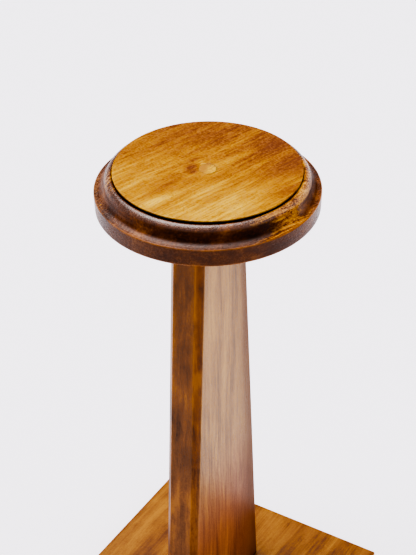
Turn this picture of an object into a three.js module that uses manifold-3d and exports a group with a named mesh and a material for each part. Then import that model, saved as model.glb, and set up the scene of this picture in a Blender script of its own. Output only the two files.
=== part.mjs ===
// A small tilt-top pedestal table: a turned round top with a moulded edge that swings up on two pivot
// pins, a tapered rectangular pillar with chamfered corners, and a square base board.
// Millimetres, +Z up. The origin is on the floor under the pillar's axis. The top rises on its +X side,
// and the pivot runs along Y.
import * as THREE from "three";
import { mergeVertices } from "three/addons/utils/BufferGeometryUtils.js";
import Module from "manifold-3d";

const wasm = await Module();
wasm.setup();

// Driving dimensions.
const GAP = 0.3; // between two pieces that touch
const TABLE_HEIGHT = 627;
const TOP = { radius: 120, thickness: 42, flatRadius: 100, quirk: 3.4, bandHeight: 19.5 };
const PLUG = { radius: 9.5, depth: 9 };
const BASE = { side: 300, thickness: 22, arris: 1.5 };
const FOOT_PAD = { radius: 16, height: 4, inset: 25, edge: 1 };
const PILLAR = { halfX: 21, footHalfY: 79.5, headHalfY: 47, chamfer: 7.2 };
const TENON = { x: 24, y: 60, wedgeOffset: 18, wedgeDepth: 16, wedgeThick: 3.6, wedgeThin: 1.6 };
const BLOCK = { thickness: 24, halfY: 48.5, clearance: 0.5 };
const PIVOT = { x: -32, drop: 12, pinRadius: 4, pinPlay: 0.15, bushRadius: 6, bushLength: 18 };
const BEARER = { halfLength: 80, width: 16, depth: 22, flatHalf: 45, endDepth: 8, sidePlay: 0.5 };
const DOWEL = { radius: 5, length: 48, inBase: 16, y: 52 };
const BASE_SCREW = { radius: 3, length: 62, recess: 5, x: 11, y: 27 };
const BEARER_SCREW = { radius: 2.2, recess: 3, bite: 13, spread: 66 };
const CATCH = {
  plate: { x: 46, length: 50, halfY: 17, thickness: 2 },
  strap: { first: 51.4, second: 78.3, length: 8.3, wall: 1.6 },
  bolt: { nose: 45, length: 46, halfY: 5, height: 5, noseRound: 2.5 },
  knob: { x: 73, radius: 4.7, stem: 2.2, drop: 11, bite: 3.5 },
  spring: { x: 57, length: 24, halfY: 4, thickness: 0.5, rise: 0.7, room: 1.8 },
  screw: { radius: 1.5, length: 12, inset: 5, y: 12 },
};
const KEEP = { thickness: 1.5, halfY: 17, height: 15, screwY: 12, mortiseDepth: 9 };

// Levels and places that follow from them.
const UNDERSIDE_Z = TABLE_HEIGHT - TOP.thickness;
const BASE_BOTTOM_Z = FOOT_PAD.height;
const BASE_TOP_Z = BASE_BOTTOM_Z + BASE.thickness;
const BLOCK_TOP_Z = UNDERSIDE_Z - BLOCK.clearance;
const BLOCK_BOTTOM_Z = BLOCK_TOP_Z - BLOCK.thickness;
const PILLAR_HEAD_Z = BLOCK_BOTTOM_Z - GAP;
const PIVOT_Z = UNDERSIDE_Z - PIVOT.drop;
const BLOCK_ROUND = PIVOT.drop - BLOCK.clearance;
const BLOCK_HALF_X = BLOCK_ROUND - PIVOT.x;
const BEARER_INNER_Y = BLOCK.halfY + BEARER.sidePlay;
const BOLT_TOP_DROP = GAP + CATCH.plate.thickness + CATCH.spring.room;
const BOLT_BOTTOM_DROP = BOLT_TOP_DROP + CATCH.bolt.height;
const PLATE_SCREW_HEAD = -GAP - CATCH.plate.thickness;

const FINE_SIDES = 60;
const ROD_SIDES = 24;
const SCREW_SIDES = 12;
const CURVE_STEPS = 4;
const SIDES_OF_Y = [["front", -1], ["back", 1]];

const honeyWood = new THREE.MeshStandardMaterial({ color: 0xc48c3c, roughness: 0.38, metalness: 0 });
const plugWood = new THREE.MeshStandardMaterial({ color: 0xd3a253, roughness: 0.42, metalness: 0 });
const pillarWood = new THREE.MeshStandardMaterial({ color: 0x7a4822, roughness: 0.3, metalness: 0 });
const baseWood = new THREE.MeshStandardMaterial({ color: 0xc3853c, roughness: 0.35, metalness: 0 });
const plainWood = new THREE.MeshStandardMaterial({ color: 0xa9794a, roughness: 0.6, metalness: 0 });
const wedgeWood = new THREE.MeshStandardMaterial({ color: 0x5b3a20, roughness: 0.6, metalness: 0 });
const brass = new THREE.MeshStandardMaterial({ color: 0xb08d45, roughness: 0.35, metalness: 1 });
const steel = new THREE.MeshStandardMaterial({ color: 0x8f8d88, roughness: 0.4, metalness: 1 });
const felt = new THREE.MeshStandardMaterial({ color: 0x4a4038, roughness: 1, metalness: 0 });

// A closed geometry as a manifold-3d solid, and back.
function solidOf(geometry) {
  const bare = geometry.clone();
  bare.deleteAttribute("normal");
  bare.deleteAttribute("uv");
  const merged = mergeVertices(bare, 1e-4);
  const vertProperties = merged.getAttribute("position").array;
  const triVerts = new Uint32Array(merged.index.array);
  return new wasm.Manifold(new wasm.Mesh({ numProp: 3, vertProperties, triVerts }));
}

function geometryOf(solid) {
  const { vertProperties, triVerts } = solid.getMesh();
  const geometry = new THREE.BufferGeometry()
    .setAttribute("position", new THREE.BufferAttribute(vertProperties, 3))
    .setIndex(new THREE.BufferAttribute(triVerts, 1))
    .toNonIndexed();
  geometry.computeVertexNormals();
  return geometry;
}

function cut(geometry, tools) {
  return geometryOf(tools.reduce((rest, tool) => rest.subtract(solidOf(tool)), solidOf(geometry)));
}

function join(geometry, additions) {
  return geometryOf(additions.reduce((whole, piece) => whole.add(solidOf(piece)), solidOf(geometry)));
}

// Basic forms. A box is given by its extents, and a rod runs along Z.
function box([x0, x1], [y0, y1], [z0, z1]) {
  return new THREE.BoxGeometry(x1 - x0, y1 - y0, z1 - z0).translate(
    (x0 + x1) / 2,
    (y0 + y1) / 2,
    (z0 + z1) / 2,
  );
}

function rod(radius, z0, z1, sides = ROD_SIDES) {
  return new THREE.CylinderGeometry(radius, radius, z1 - z0, sides)
    .rotateX(Math.PI / 2)
    .translate(0, 0, (z0 + z1) / 2);
}

function turned(path, sides) {
  return new THREE.LatheGeometry(path.getPoints(CURVE_STEPS), sides).rotateX(Math.PI / 2);
}

function pathThrough(points, PathType = THREE.Path) {
  const path = new PathType();
  points.forEach(([x, y], i) => (i ? path.lineTo(x, y) : path.moveTo(x, y)));
  return path;
}

function extruded(shape, depth) {
  return new THREE.ExtrudeGeometry(shape, { depth, bevelEnabled: false, curveSegments: CURVE_STEPS });
}

// A shape drawn in the XZ plane and extruded along Y from y0 to y1.
function extrudedAlongY(shape, y0, y1) {
  return extruded(shape, y1 - y0).rotateX(Math.PI / 2).translate(0, y1, 0);
}

// A countersunk wood screw: flat head at z = 0, point at z = length. A larger one with a recess below its
// head is the hole that it sits in.
function screwForm(radius, length, grow = 0, recess = 0) {
  const outline = pathThrough([
    [0, -recess],
    [2 * radius + grow, -recess],
    [2 * radius + grow, 0.2 * radius],
    [radius + grow, 1.2 * radius + grow],
    [radius + grow, 0.45 * length],
    [0.75 * radius + grow, 0.5 * length],
    [0.75 * radius + grow, length - 2 * radius],
    [0, length + 2 * grow],
  ]);
  return turned(outline, SCREW_SIDES);
}

function screw(radius, length) {
  const slot = box([-0.28 * radius, 0.28 * radius], [-3 * radius, 3 * radius], [-1, 0.6 * radius]);
  return cut(screwForm(radius, length), [slot]);
}

function screwHole(radius, length, recess) {
  return screwForm(radius, length, GAP, recess);
}

function piece(parent, name, geometry, material, [x, y, z] = [0, 0, 0]) {
  const mesh = new THREE.Mesh(geometry, material);
  mesh.name = name;
  mesh.position.set(x, y, z);
  parent.add(mesh);
  return mesh;
}

// Places of the repeated pieces.
const footPadPlaces = [];
const baseScrewPlaces = [];
for (const [end, sy] of SIDES_OF_Y) {
  for (const [side, sx] of [["left", -1], ["right", 1]]) {
    const reach = BASE.side / 2 - FOOT_PAD.inset;
    footPadPlaces.push({ tag: `${end}_${side}`, x: sx * reach, y: sy * reach });
    baseScrewPlaces.push({ tag: `${end}_${side}`, x: sx * BASE_SCREW.x, y: sy * BASE_SCREW.y });
  }
}
const plateScrewPlaces = [];
const plateScrewX = {
  inner: CATCH.plate.x + CATCH.screw.inset,
  outer: CATCH.plate.x + CATCH.plate.length - CATCH.screw.inset,
};
for (const [end, sy] of SIDES_OF_Y) {
  for (const [place, x] of Object.entries(plateScrewX)) {
    plateScrewPlaces.push({ tag: `${end}_${place}`, x, y: sy * CATCH.screw.y });
  }
}

// How deep a bearer is at x: level over its middle, and tapered towards both ends.
function bearerDepthAt(x) {
  const share = Math.max(0, Math.abs(x) - BEARER.flatHalf) / (BEARER.halfLength - BEARER.flatHalf);
  return BEARER.depth - share * (BEARER.depth - BEARER.endDepth);
}

// Each bearer screw's head sits a little above the bearer's lower face.
const bearerScrewPlaces = ["low", "middle", "high"].map((tag, i) => {
  const x = (i - 1) * BEARER_SCREW.spread;
  const head = -(bearerDepthAt(x) - BEARER_SCREW.recess);
  return { tag, x, head, length: BEARER_SCREW.bite - head };
});
const bearerScrewY = BEARER_INNER_Y + BEARER.width / 2;

// ---- The stand: base board, feet, pillar and pivot block.

function chamferedRectangle(halfX, halfY, chamfer) {
  return pathThrough(
    [
      [halfX, -halfY + chamfer],
      [halfX, halfY - chamfer],
      [halfX - chamfer, halfY],
      [-halfX + chamfer, halfY],
      [-halfX, halfY - chamfer],
      [-halfX, -halfY + chamfer],
      [-halfX + chamfer, -halfY],
      [halfX - chamfer, -halfY],
    ],
    THREE.Shape,
  );
}

function baseScrewHole({ x, y }) {
  return screwHole(BASE_SCREW.radius, BASE_SCREW.length, BASE_SCREW.recess + 1).translate(
    x,
    y,
    BASE_BOTTOM_Z + BASE_SCREW.recess,
  );
}

function dowelHole(sy) {
  const bottom = BASE_TOP_Z - DOWEL.inBase;
  const hole = rod(DOWEL.radius + GAP, bottom - GAP, bottom + DOWEL.length + GAP);
  return hole.translate(0, sy * DOWEL.y, 0);
}

function baseBoard() {
  const half = BASE.side / 2 - BASE.arris;
  const outline = chamferedRectangle(half, half, BASE.arris);
  const board = new THREE.ExtrudeGeometry(outline, {
    depth: BASE.thickness - 2 * BASE.arris,
    bevelThickness: BASE.arris,
    bevelSize: BASE.arris,
    bevelSegments: 1,
  }).translate(0, 0, BASE_BOTTOM_Z + BASE.arris);
  return cut(board, [...baseScrewPlaces.map(baseScrewHole), dowelHole(-1), dowelHole(1)]);
}

function footPad() {
  const { radius, height, edge } = FOOT_PAD;
  const outline = pathThrough([
    [0, 0],
    [radius - edge, 0],
    [radius, edge],
    [radius, height - GAP],
    [0, height - GAP],
  ]);
  return turned(outline, ROD_SIDES);
}

// A wedge across the tenon, thick at the top, grown all round for the slit that it is driven into.
function tenonWedge(sy, grow = 0) {
  const z = { top: BLOCK_TOP_Z + (grow ? 1 : 0), bottom: BLOCK_TOP_Z - TENON.wedgeDepth - grow };
  const thick = TENON.wedgeThick / 2 + grow;
  const thin = TENON.wedgeThin / 2 + grow;
  const outline = pathThrough(
    [
      [-thin, z.bottom],
      [thin, z.bottom],
      [thick, z.top],
      [-thick, z.top],
    ],
    THREE.Shape,
  );
  const halfX = TENON.x / 2 + (grow ? 1 : -GAP);
  return extrudedAlongY(outline, -halfX, halfX).rotateZ(Math.PI / 2).translate(0, sy * TENON.wedgeOffset, 0);
}

// The pillar is a plank of even thickness that narrows upwards along Y. Its chamfers keep their width.
function pillar() {
  const foot = BASE_TOP_Z + GAP;
  const height = PILLAR_HEAD_Z - foot;
  const { halfX: thickHalf, footHalfY, headHalfY, chamfer } = PILLAR;
  const shaft = extruded(chamferedRectangle(thickHalf, footHalfY, chamfer), height);
  const position = shaft.getAttribute("position");
  for (let i = 0; i < position.count; i++) {
    const y = position.getY(i);
    const rise = position.getZ(i) / height;
    position.setY(i, y - Math.sign(y) * (footHalfY - headHalfY) * rise);
  }
  shaft.translate(0, 0, foot);
  const halfX = TENON.x / 2;
  const halfY = TENON.y / 2;
  const tenon = box([-halfX, halfX], [-halfY, halfY], [PILLAR_HEAD_Z - 1, BLOCK_TOP_Z - GAP]);
  return cut(join(shaft, [tenon]), [
    ...baseScrewPlaces.map(baseScrewHole),
    dowelHole(-1),
    dowelHole(1),
    tenonWedge(-1, GAP),
    tenonWedge(1, GAP),
  ]);
}

function keepScrewForm(form, sy) {
  const z = BLOCK_TOP_Z - GAP - KEEP.height / 2;
  return form.rotateY(-Math.PI / 2).translate(BLOCK_HALF_X, sy * KEEP.screwY, z);
}

// The catch bolt's way into the block, through the keep.
function boltMortise() {
  const y = CATCH.bolt.halfY + 2 * GAP;
  const zTop = UNDERSIDE_Z - BOLT_TOP_DROP + 2 * GAP;
  const zBottom = UNDERSIDE_Z - BOLT_BOTTOM_DROP - 2 * GAP;
  return box([BLOCK_HALF_X - KEEP.mortiseDepth, BLOCK_HALF_X + 1], [-y, y], [zBottom, zTop]);
}

// The block's -X edge is rounded about the pivot, so the top can turn over it and stop against its side.
function pivotBlock() {
  const profile = new THREE.Shape();
  profile.moveTo(BLOCK_HALF_X, BLOCK_BOTTOM_Z);
  profile.lineTo(BLOCK_HALF_X, BLOCK_TOP_Z);
  profile.lineTo(PIVOT.x, BLOCK_TOP_Z);
  profile.absarc(PIVOT.x, PIVOT_Z, BLOCK_ROUND, Math.PI / 2, Math.PI, false);
  profile.lineTo(-BLOCK_HALF_X, BLOCK_BOTTOM_Z);
  const body = extrudedAlongY(profile, -BLOCK.halfY, BLOCK.halfY);
  const halfX = TENON.x / 2 + GAP;
  const halfY = TENON.y / 2 + GAP;
  const mortise = box([-halfX, halfX], [-halfY, halfY], [BLOCK_BOTTOM_Z - 1, BLOCK_TOP_Z + 1]);
  const keepSeat = box(
    [BLOCK_HALF_X - KEEP.thickness - GAP, BLOCK_HALF_X + 1],
    [-KEEP.halfY - GAP, KEEP.halfY + GAP],
    [BLOCK_TOP_Z - KEEP.height - 2 * GAP, BLOCK_TOP_Z + 1],
  );
  const cutters = [mortise, keepSeat, boltMortise()];
  for (const [, sy] of SIDES_OF_Y) {
    cutters.push(bushSeat(sy), keepScrewForm(screwHole(CATCH.screw.radius, CATCH.screw.length, 1), sy));
  }
  return cut(body, cutters);
}

// Places a form that runs along +Z so that it runs inwards along Y from a side of the block.
function alongPivot(geometry, sy, y) {
  return geometry.rotateX((sy * Math.PI) / 2).translate(PIVOT.x, sy * y, PIVOT_Z);
}

function bushSeat(sy) {
  return alongPivot(rod(PIVOT.bushRadius + GAP, -1, PIVOT.bushLength + 2), sy, BLOCK.halfY);
}

function pivotBush(sy) {
  const bore = PIVOT.pinRadius + PIVOT.pinPlay;
  const outline = pathThrough([
    [bore, 0],
    [PIVOT.bushRadius, 0],
    [PIVOT.bushRadius, PIVOT.bushLength],
    [bore, PIVOT.bushLength],
    [bore, 0],
  ]);
  return alongPivot(turned(outline, ROD_SIDES), sy, BLOCK.halfY);
}

function catchKeep() {
  const zTop = BLOCK_TOP_Z - GAP;
  const plate = box(
    [BLOCK_HALF_X - KEEP.thickness, BLOCK_HALF_X],
    [-KEEP.halfY, KEEP.halfY],
    [zTop - KEEP.height, zTop],
  );
  const holes = SIDES_OF_Y.map(([, sy]) =>
    keepScrewForm(screwHole(CATCH.screw.radius, CATCH.screw.length, 1), sy),
  );
  return cut(plate, [boltMortise(), ...holes]);
}

const stand = new THREE.Group();
piece(stand, "base_board", baseBoard(), baseWood);
for (const { tag, x, y } of footPadPlaces) {
  piece(stand, `foot_pad_${tag}`, footPad(), felt, [x, y, 0]);
}
piece(stand, "pillar", pillar(), pillarWood);
for (const { tag, x, y } of baseScrewPlaces) {
  const place = [x, y, BASE_BOTTOM_Z + BASE_SCREW.recess];
  piece(stand, `base_screw_${tag}`, screw(BASE_SCREW.radius, BASE_SCREW.length), steel, place);
}
piece(stand, "pivot_block", pivotBlock(), plainWood);
piece(stand, "catch_keep", catchKeep(), brass);
for (const [tag, sy] of SIDES_OF_Y) {
  const dowel = rod(DOWEL.radius, 0, DOWEL.length);
  piece(stand, `pillar_dowel_${tag}`, dowel, plainWood, [0, sy * DOWEL.y, BASE_TOP_Z - DOWEL.inBase]);
  piece(stand, `tenon_wedge_${tag}`, tenonWedge(sy), wedgeWood);
  piece(stand, `pivot_bush_${tag}`, pivotBush(sy), brass);
  const keepScrew = keepScrewForm(screw(CATCH.screw.radius, CATCH.screw.length), sy);
  piece(stand, `keep_screw_${tag}`, keepScrew, brass);
}

// ---- The top, drawn with its underside at z = 0.

// The outline of half the top's section. Below the flat there is a small upright quirk, then the ogee:
// a round shoulder that turns into a cove and flares out to the lip, and under it the upright band.
function topOutline() {
  const { radius, thickness, flatRadius, quirk, bandHeight } = TOP;
  const shoulder = { r: flatRadius + 1, z: thickness - quirk };
  const waist = { r: flatRadius + 0.45 * (radius - flatRadius), z: (shoulder.z + bandHeight) / 2 };
  const lip = { r: radius - 0.8, z: bandHeight + 1 };
  const ease = 1.6;
  const path = new THREE.Path();
  path.moveTo(0, 0);
  path.lineTo(radius - 0.7 - ease, 0);
  path.quadraticCurveTo(radius - 0.7, 0, radius - 0.7, ease);
  path.lineTo(radius, bandHeight);
  path.lineTo(lip.r, lip.z);
  path.bezierCurveTo(
    (lip.r + waist.r) / 2,
    lip.z,
    waist.r,
    (lip.z + waist.z) / 2,
    waist.r,
    waist.z,
  );
  path.bezierCurveTo(
    waist.r,
    (waist.z + shoulder.z) / 2,
    (waist.r + shoulder.r) / 2,
    shoulder.z,
    shoulder.r,
    shoulder.z,
  );
  path.lineTo(flatRadius, shoulder.z);
  path.lineTo(flatRadius, thickness);
  path.lineTo(0, thickness);
  return path;
}

function topBoard() {
  const plugSeat = rod(PLUG.radius + GAP, TOP.thickness - PLUG.depth - GAP, TOP.thickness + 1);
  const cutters = [plugSeat];
  for (const { x, head, length } of bearerScrewPlaces) {
    for (const [, sy] of SIDES_OF_Y) {
      cutters.push(screwHole(BEARER_SCREW.radius, length, 0).translate(x, sy * bearerScrewY, head));
    }
  }
  for (const { x, y } of plateScrewPlaces) {
    cutters.push(screwHole(CATCH.screw.radius, CATCH.screw.length, 0).translate(x, y, PLATE_SCREW_HEAD));
  }
  return cut(turned(topOutline(), FINE_SIDES), cutters);
}

// Bearers run across the top on either side of the block and carry the pivot pins.
function bearer(sy) {
  const { halfLength, flatHalf, depth, endDepth, width } = BEARER;
  const outline = pathThrough(
    [
      [-halfLength, -GAP],
      [-halfLength, -endDepth],
      [-flatHalf, -depth],
      [flatHalf, -depth],
      [halfLength, -endDepth],
      [halfLength, -GAP],
    ],
    THREE.Shape,
  );
  const inner = sy * BEARER_INNER_Y;
  const outer = sy * (BEARER_INNER_Y + width);
  const bar = extrudedAlongY(outline, Math.min(inner, outer), Math.max(inner, outer));
  const pinHole = rod(PIVOT.pinRadius + GAP, -1, width + 1)
    .rotateX((-sy * Math.PI) / 2)
    .translate(PIVOT.x, inner, -PIVOT.drop);
  const screwHoles = bearerScrewPlaces.map(({ x, head, length }) =>
    screwHole(BEARER_SCREW.radius, length, BEARER.depth).translate(x, sy * bearerScrewY, head),
  );
  return cut(bar, [pinHole, ...screwHoles]);
}

// A steel pin with eased ends, from just inside the bearer's outer face to the inner end of the bush.
function pivotPin(sy) {
  const { pinRadius, bushLength, x, drop } = PIVOT;
  const outerEnd = BEARER_INNER_Y + BEARER.width - 1;
  const length = outerEnd - (BLOCK.halfY - bushLength);
  const ease = 0.8;
  const outline = pathThrough([
    [0, 0],
    [pinRadius - ease, 0],
    [pinRadius, ease],
    [pinRadius, length - ease],
    [pinRadius - ease, length],
    [0, length],
  ]);
  return turned(outline, ROD_SIDES)
    .rotateX((sy * Math.PI) / 2)
    .translate(x, sy * outerEnd, -drop);
}

// A bridge over the bolt: two legs and a floor under it.
function strap(x0) {
  const { wall, length } = CATCH.strap;
  const inner = CATCH.bolt.halfY + GAP;
  const outer = inner + wall;
  const floor = -BOLT_BOTTOM_DROP - GAP;
  const whole = box([x0, x0 + length], [-outer, outer], [floor - wall, PLATE_SCREW_HEAD + 0.5]);
  return cut(whole, [box([x0 - 1, x0 + length + 1], [-inner, inner], [floor, PLATE_SCREW_HEAD + 1])]);
}

function catchPlate() {
  const { x, length, halfY } = CATCH.plate;
  const plate = box([x, x + length], [-halfY, halfY], [PLATE_SCREW_HEAD, -GAP]);
  const straps = [strap(CATCH.strap.first), strap(CATCH.strap.second)];
  const holes = plateScrewPlaces.map((place) =>
    screwHole(CATCH.screw.radius, CATCH.screw.length, 1).translate(place.x, place.y, PLATE_SCREW_HEAD),
  );
  return cut(join(plate, straps), holes);
}

// A bowed leaf between the plate and the bolt, which holds the bolt by friction.
function catchSpring() {
  const { x, length, halfY, thickness, rise } = CATCH.spring;
  const ends = PLATE_SCREW_HEAD - GAP;
  const bow = new THREE.Shape();
  bow.moveTo(x, ends);
  bow.quadraticCurveTo(x + length / 2, ends - 2 * rise, x + length, ends);
  bow.lineTo(x + length, ends - thickness);
  bow.quadraticCurveTo(x + length / 2, ends - thickness - 2 * rise, x, ends - thickness);
  return extrudedAlongY(bow, -halfY, halfY);
}

const top = new THREE.Group();
top.position.z = UNDERSIDE_Z;
piece(top, "top_board", topBoard(), honeyWood);
piece(top, "centre_plug", rod(PLUG.radius, TOP.thickness - PLUG.depth, TOP.thickness), plugWood);
piece(top, "catch_plate", catchPlate(), brass);
piece(top, "catch_spring", catchSpring(), steel);
for (const { tag, x, y } of plateScrewPlaces) {
  const place = [x, y, PLATE_SCREW_HEAD];
  piece(top, `plate_screw_${tag}`, screw(CATCH.screw.radius, CATCH.screw.length), brass, place);
}
for (const [side, sy] of SIDES_OF_Y) {
  piece(top, `bearer_${side}`, bearer(sy), plainWood);
  piece(top, `pivot_pin_${side}`, pivotPin(sy), steel);
  for (const { tag, x, head, length } of bearerScrewPlaces) {
    const place = [x, sy * bearerScrewY, head];
    piece(top, `bearer_screw_${side}_${tag}`, screw(BEARER_SCREW.radius, length), steel, place);
  }
}

// ---- The catch bolt, which slides under the straps, and its knob. It is drawn back at rest.

function catchBolt() {
  const { nose, length, halfY, height, noseRound } = CATCH.bolt;
  const plan = new THREE.Shape();
  plan.moveTo(nose + noseRound, -halfY);
  plan.lineTo(nose + length, -halfY);
  plan.lineTo(nose + length, halfY);
  plan.lineTo(nose + noseRound, halfY);
  plan.quadraticCurveTo(nose, halfY, nose, halfY - noseRound);
  plan.lineTo(nose, noseRound - halfY);
  plan.quadraticCurveTo(nose, -halfY, nose + noseRound, -halfY);
  const bar = extruded(plan, height).translate(0, 0, -BOLT_BOTTOM_DROP);
  const { stem, bite } = CATCH.knob;
  const hole = rod(stem + GAP, -BOLT_BOTTOM_DROP - 1, -BOLT_BOTTOM_DROP + bite + GAP);
  return cut(bar, [hole.translate(CATCH.knob.x, 0, 0)]);
}

function catchKnob() {
  const { radius, stem, drop, bite } = CATCH.knob;
  const outline = new THREE.Path();
  outline.moveTo(0, -drop);
  outline.quadraticCurveTo(radius, -drop, radius, radius - drop);
  outline.quadraticCurveTo(radius, 1.6 * radius - drop, stem, 1.8 * radius - drop);
  outline.lineTo(stem, bite);
  outline.lineTo(0, bite);
  return turned(outline, SCREW_SIDES * 2);
}

const catchSlide = new THREE.Group();
piece(catchSlide, "catch_bolt", catchBolt(), brass);
piece(catchSlide, "catch_knob", catchKnob(), brass, [CATCH.knob.x, 0, -BOLT_BOTTOM_DROP]);
top.add(catchSlide);

const table = new THREE.Group();
table.add(stand, top);

export default table;
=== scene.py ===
"""The looks of a small tilt-top pedestal table: a turned top, a chamfered pillar, a square base board.

Metres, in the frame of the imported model: Z is up, the top rises on its +X side about an axis along Y,
and the pillar is wide along Y.
"""

import functools  # noqa: E402
import math  # noqa: E402

import bpy  # noqa: E402
import numpy as np  # noqa: E402
from mathutils import Euler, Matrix, Vector, noise  # noqa: E402


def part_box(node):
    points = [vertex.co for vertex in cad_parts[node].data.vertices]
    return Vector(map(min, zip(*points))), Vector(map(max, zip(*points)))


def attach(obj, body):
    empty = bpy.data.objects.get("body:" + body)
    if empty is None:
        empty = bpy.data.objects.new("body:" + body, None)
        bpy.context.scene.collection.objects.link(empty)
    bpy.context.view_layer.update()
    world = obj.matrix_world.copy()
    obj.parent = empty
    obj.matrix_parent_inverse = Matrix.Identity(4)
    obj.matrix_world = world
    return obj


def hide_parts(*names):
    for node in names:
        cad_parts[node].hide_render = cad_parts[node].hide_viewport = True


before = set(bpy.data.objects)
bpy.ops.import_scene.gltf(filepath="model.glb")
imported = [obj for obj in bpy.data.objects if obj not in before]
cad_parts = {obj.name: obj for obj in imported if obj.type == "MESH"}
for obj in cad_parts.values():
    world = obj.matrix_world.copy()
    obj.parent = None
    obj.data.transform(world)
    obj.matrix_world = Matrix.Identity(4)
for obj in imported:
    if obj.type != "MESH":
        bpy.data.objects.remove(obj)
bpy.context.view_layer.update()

MM = 0.001

# The corners of a square in order, and the faces of a box with such corners below and then above.
SQUARE = ((-1, -1), (1, -1), (1, 1), (-1, 1))
BOX_FACES = [(0, 3, 2, 1), (4, 5, 6, 7), (0, 1, 5, 4), (1, 2, 6, 5), (2, 3, 7, 6), (3, 0, 4, 7)]

# ---- Places and sizes that come from the frame.

TOP_LOW, TOP_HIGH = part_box("top_board")
PLUG_LOW, PLUG_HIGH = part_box("centre_plug")
PILLAR_LOW, PILLAR_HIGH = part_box("pillar")
BLOCK_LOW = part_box("pivot_block")[0]
BASE_LOW, BASE_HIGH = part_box("base_board")

TOP_RADIUS = TOP_HIGH.x
TOP_THICKNESS = TOP_HIGH.z - TOP_LOW.z

# The side of the table that counts as its front, as an angle round Z.
FRONT_ANGLE = math.radians(-58)

# ---- Camera, floor and light.

# The lens is in millimetres, the place in metres and the turns in degrees.
LENS = 108.1
CAMERA_PLACE = (0.784833, -1.26218, 1.528377)
CAMERA_HEADING = 31.912
CAMERA_DROP = 34.97
CAMERA_ROLL = -0.763


def turned(x=0.0, z=0.0):
    """The matrix of a turn about X or about Z, in degrees."""
    return Euler((math.radians(x), 0, math.radians(z))).to_matrix()


def make_camera():
    data = bpy.data.cameras.new("camera")
    data.lens = LENS
    data.sensor_width = 36
    data.clip_start = 0.05
    data.clip_end = 100
    camera = bpy.data.objects.new("camera", data)
    camera.location = CAMERA_PLACE
    view = turned(z=CAMERA_HEADING) @ turned(x=90 - CAMERA_DROP) @ turned(z=CAMERA_ROLL)
    camera.rotation_euler = view.to_euler()
    bpy.context.scene.collection.objects.link(camera)
    bpy.context.scene.camera = camera


class Graph:
    """A node tree under construction. Its methods take sockets or plain numbers, and give sockets."""

    def __init__(self, tree):
        self.tree = tree
        tree.nodes.clear()

    def node(self, kind, inputs=None, **settings):
        made = self.tree.nodes.new(kind)
        for key, value in settings.items():
            setattr(made, key, value)
        for key, value in (inputs or {}).items():
            if isinstance(value, bpy.types.NodeSocket):
                self.tree.links.new(value, made.inputs[key])
            else:
                made.inputs[key].default_value = value
        return made

    def dot(self, a, b):
        return self.node("ShaderNodeVectorMath", {0: a, 1: b}, operation="DOT_PRODUCT").outputs["Value"]

    def math(self, operation, a, b):
        return self.node("ShaderNodeMath", {0: a, 1: b}, operation=operation).outputs[0]

    def times(self, a, b):
        return self.math("MULTIPLY", a, b)

    def plus(self, a, b):
        return self.math("ADD", a, b)

    def total(self, *parts):
        """The sum of the parts, each of them a value and its share."""
        return functools.reduce(self.plus, [self.times(value, share) for value, share in parts])

    def swing(self, value, share):
        """The value's distance from a half, times share."""
        return self.times(self.plus(value, -0.5), share)

    def span(self, value, low, high, to_low=0.0, to_high=1.0):
        """A smooth step that runs from to_low at low to to_high at high."""
        ends = {"Value": value, "From Min": low, "From Max": high, "To Min": to_low, "To Max": to_high}
        return self.node("ShaderNodeMapRange", ends, interpolation_type="SMOOTHSTEP").outputs[0]

    def mix(self, factor, a, b):
        """Colour a where factor is 0, and colour b where it is 1."""
        return self.node("ShaderNodeMix", {0: factor, 6: a, 7: b}, data_type="RGBA").outputs[2]

    def ramp(self, value, stops):
        made = self.node("ShaderNodeValToRGB", {"Fac": value})
        elements = made.color_ramp.elements
        while len(elements) < len(stops):
            elements.new(1.0)
        for element, (position, colour) in zip(elements, stops):
            element.position = position
            element.color = colour
        return made.outputs["Color"]

    def place(self, rotation=(0, 0, 0), scale=(1, 1, 1), shift=(0, 0, 0), source=None):
        """Object coordinates, or those of source, turned, then moved by shift, then scaled."""
        if source is None:
            source = self.node("ShaderNodeTexCoord").outputs["Object"]
        inputs = {"Vector": source, "Rotation": rotation, "Location": shift}
        moved = self.node("ShaderNodeMapping", inputs).outputs[0]
        return self.node("ShaderNodeVectorMath", {0: moved, 1: scale}, operation="MULTIPLY").outputs[0]

    def noise(self, place, scale=1.0, detail=2.0, roughness=0.5, distortion=0.0):
        inputs = {
            "Vector": place,
            "Scale": scale,
            "Detail": detail,
            "Roughness": roughness,
            "Distortion": distortion,
        }
        return self.node("ShaderNodeTexNoise", inputs).outputs[0]

    def attribute(self, name):
        return self.node("ShaderNodeAttribute", attribute_name=name).outputs["Fac"]

    def edges(self, radius):
        """1 on sharp edges, falling to 0 at about radius from them."""
        rounded = self.node("ShaderNodeBevel", {"Radius": radius}, samples=4).outputs[0]
        plain = self.node("ShaderNodeNewGeometry").outputs["Normal"]
        return self.span(self.dot(rounded, plain), 0.998, 0.93)

    def bump(self, height, depth, strength=0.5):
        inputs = {"Strength": strength, "Distance": depth, "Height": height}
        return self.node("ShaderNodeBump", inputs).outputs[0]

    def surface(self, inputs):
        """Ends the tree with a Principled surface."""
        made = self.node("ShaderNodeBsdfPrincipled", inputs)
        self.node("ShaderNodeOutputMaterial", {"Surface": made.outputs[0]})
        return made


def new_material(name):
    material = bpy.data.materials.new(name)
    material.use_nodes = True
    return material, Graph(material.node_tree)


def rgb(red, green, blue):
    return (red, green, blue, 1.0)


HORIZON_GLOW = 1.3
ROOM_GLOW = 0.16
# How high above the horizon the room is at its dimmest, as a share of straight up.
HORIZON_HEIGHT = 0.16
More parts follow.
